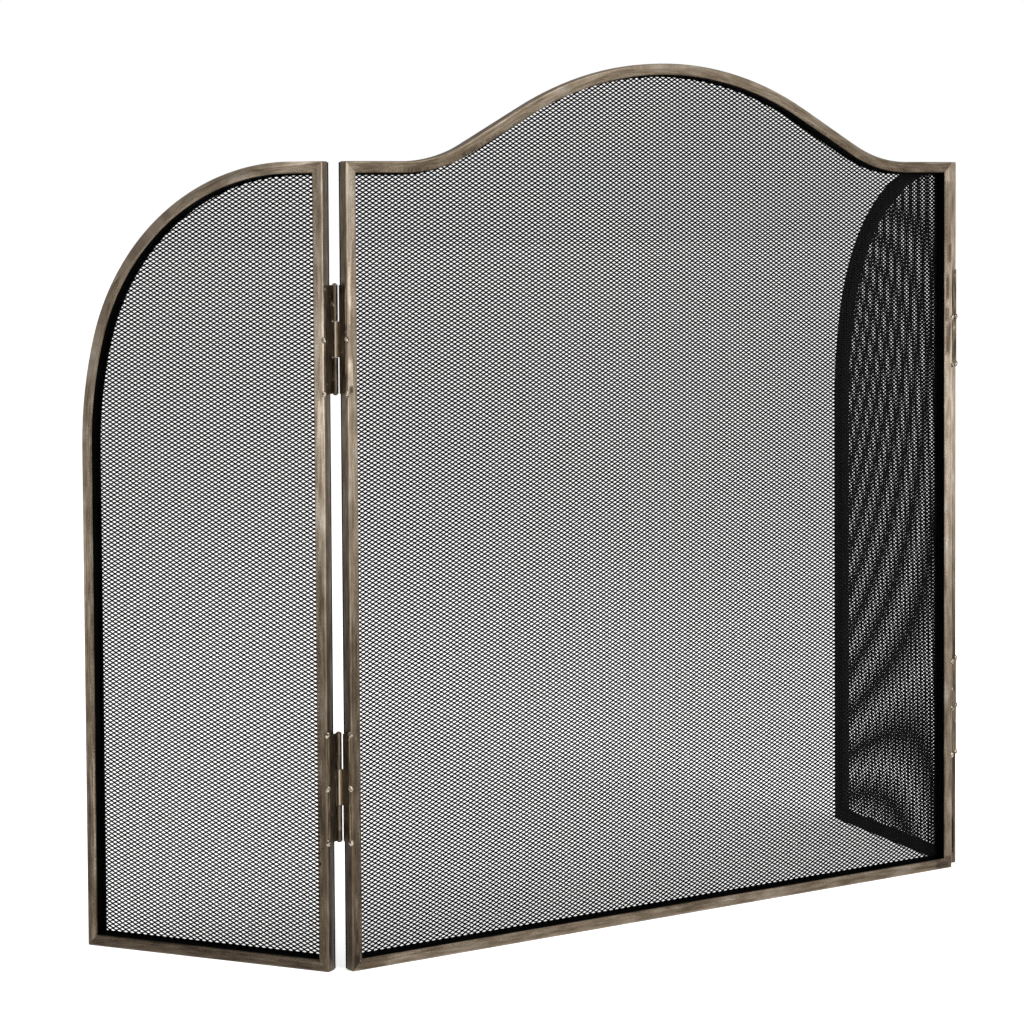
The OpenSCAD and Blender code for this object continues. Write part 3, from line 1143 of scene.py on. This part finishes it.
@dataclass
class Studio:
    """The camera, the pale floor and the soft lights.

    Angles are in degrees. The sky lights the front of the screen more than its back.
    """

    camera_at: Vector = field(default_factory=lambda: Vector((-1.6414, -2.0848, 0.6117)))
    heading: float = 35.377
    pitch: float = -2.802
    roll: float = -0.357
    focal: float = 110.6
    sensor: float = 36
    lens_drop: float = -0.158
    farthest: float = 200
    sky_front: float = 0.95
    sky_back: float = 0.35
    sky_from: float = -0.5
    sky_to: float = 0.6
    floor_size: float = 60.0
    aim_height: float = 0.35
    lamps: tuple[Lamp, ...] = (Lamp("key_light", (0.6, -3.0, 1.9), 1.6, 60),
                               Lamp("top_light", (-0.6, 0.2, 2.8), 2.0, 40))

    def add_camera(self) -> None:
        """Sets the camera level with the screen and to its left, with its lens shifted down."""
        data = bpy.data.cameras.new("camera")
        data.lens = self.focal
        data.sensor_width = self.sensor
        data.shift_y = self.lens_drop
        data.clip_end = self.farthest
        camera = bpy.data.objects.new("camera", data)
        bpy.context.scene.collection.objects.link(camera)
        camera.matrix_world = (Matrix.Translation(self.camera_at)
                               @ Matrix.Rotation(math.radians(-self.heading), 4, "Z")
                               @ Matrix.Rotation(math.radians(90 + self.pitch), 4, "X")
                               @ Matrix.Rotation(math.radians(self.roll), 4, "Z"))
        bpy.context.scene.camera = camera

    def add_floor(self) -> None:
        """Lays a wide sheet of pale paper under the screen."""
        bpy.ops.object.select_all(action="DESELECT")
        bpy.ops.mesh.primitive_plane_add(size=self.floor_size)
        floor = bpy.context.active_object
        floor.name = "floor"
        floor.data.materials.append(PaleFloor().material())

    def hang_lamp(self, lamp: Lamp) -> None:
        """Hangs one light so that it faces the screen.

        Args:
            lamp: The light.
        """
        data = bpy.data.lights.new(lamp.name, "AREA")
        data.size = lamp.size
        data.energy = lamp.power
        light = bpy.data.objects.new(lamp.name, data)
        bpy.context.scene.collection.objects.link(light)
        at = Vector(lamp.at)
        turn = (Vector((0, 0, self.aim_height)) - at).to_track_quat("-Z", "Y")
        light.matrix_world = Matrix.Translation(at) @ turn.to_matrix().to_4x4()

    def add_sky(self) -> None:
        """Surrounds the studio with plain white, which lights the screen less from behind."""
        world = bpy.data.worlds.new("white_room")
        world.use_nodes = True
        tree = world.node_tree
        seen = tree.nodes["Background"]
        seen.inputs["Color"].default_value = (1, 1, 1, 1)
        lit = tree.nodes.new("ShaderNodeBackground")
        lit.inputs["Color"].default_value = (1, 1, 1, 1)
        aim = tree.nodes.new("ShaderNodeSeparateXYZ")
        strength = tree.nodes.new("ShaderNodeMapRange")
        for name, value in {"From Min": self.sky_from, "From Max": self.sky_to,
                            "To Min": self.sky_front, "To Max": self.sky_back}.items():
            strength.inputs[name].default_value = value
        choice = tree.nodes.new("ShaderNodeMixShader")
        path = tree.nodes.new("ShaderNodeLightPath")
        tree.links.new(tree.nodes.new("ShaderNodeTexCoord").outputs["Generated"], aim.inputs[0])
        tree.links.new(aim.outputs["Y"], strength.inputs["Value"])
        tree.links.new(strength.outputs["Result"], lit.inputs["Strength"])
        tree.links.new(path.outputs["Is Camera Ray"], choice.inputs["Fac"])
        tree.links.new(lit.outputs[0], choice.inputs[1])
        tree.links.new(seen.outputs[0], choice.inputs[2])
        tree.links.new(choice.outputs[0], tree.nodes["World Output"].inputs["Surface"])
        bpy.context.scene.world = world

    def build(self) -> None:
        """Sets up the whole studio."""
        bpy.context.scene.view_settings.view_transform = "Standard"
        self.add_camera()
        self.add_floor()
        self.add_sky()
        for lamp in self.lamps:
            self.hang_lamp(lamp)


def frame_corners(place: Place) -> list[tuple[float, float]]:
    """The outer corners of a panel's frame, in its own axes.

    Args:
        place: Where the panel stands.

    Returns:
        The X and Z of each square corner.
    """
    low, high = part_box("centre_right_stile")
    if place.panel is Panel.CENTRE:
        return [(side * high.x, z) for side in (-1, 1) for z in (low.z, high.z)]
    rail = place.local(points_of(frame["nodes"][f"{place.panel.prefix}_bottom_rail"]))
    return [(0.0, low.z), (0.0, high.z), (float(rail[:, 0].max()), low.z)]


def main() -> None:
    """Builds the studio, then the screen panel by panel."""
    logging.basicConfig(level=logging.INFO, format="%(name)s: %(message)s")
    Studio().build()
    places = stand_panels()
    black, mesh_paint = MattBlack().material(), MeshPaint().material()
    for panel, place in places.items():
        outline = Outline(place)
        tones = CENTRE_TONES if panel is Panel.CENTRE else WING_TONES
        TubeFrame(place, outline, black, tones, corners=frame_corners(place)).build()
        ExpandedMesh(place, outline, mesh_paint).build()
    Strips(black).dress()
    hinges = Hinges(places, WeldMetal().material(), BARREL_HIGHLIGHTS)
    hinges.dress()
    hinges.tack_welds()


if __name__ == "__main__":
    main()
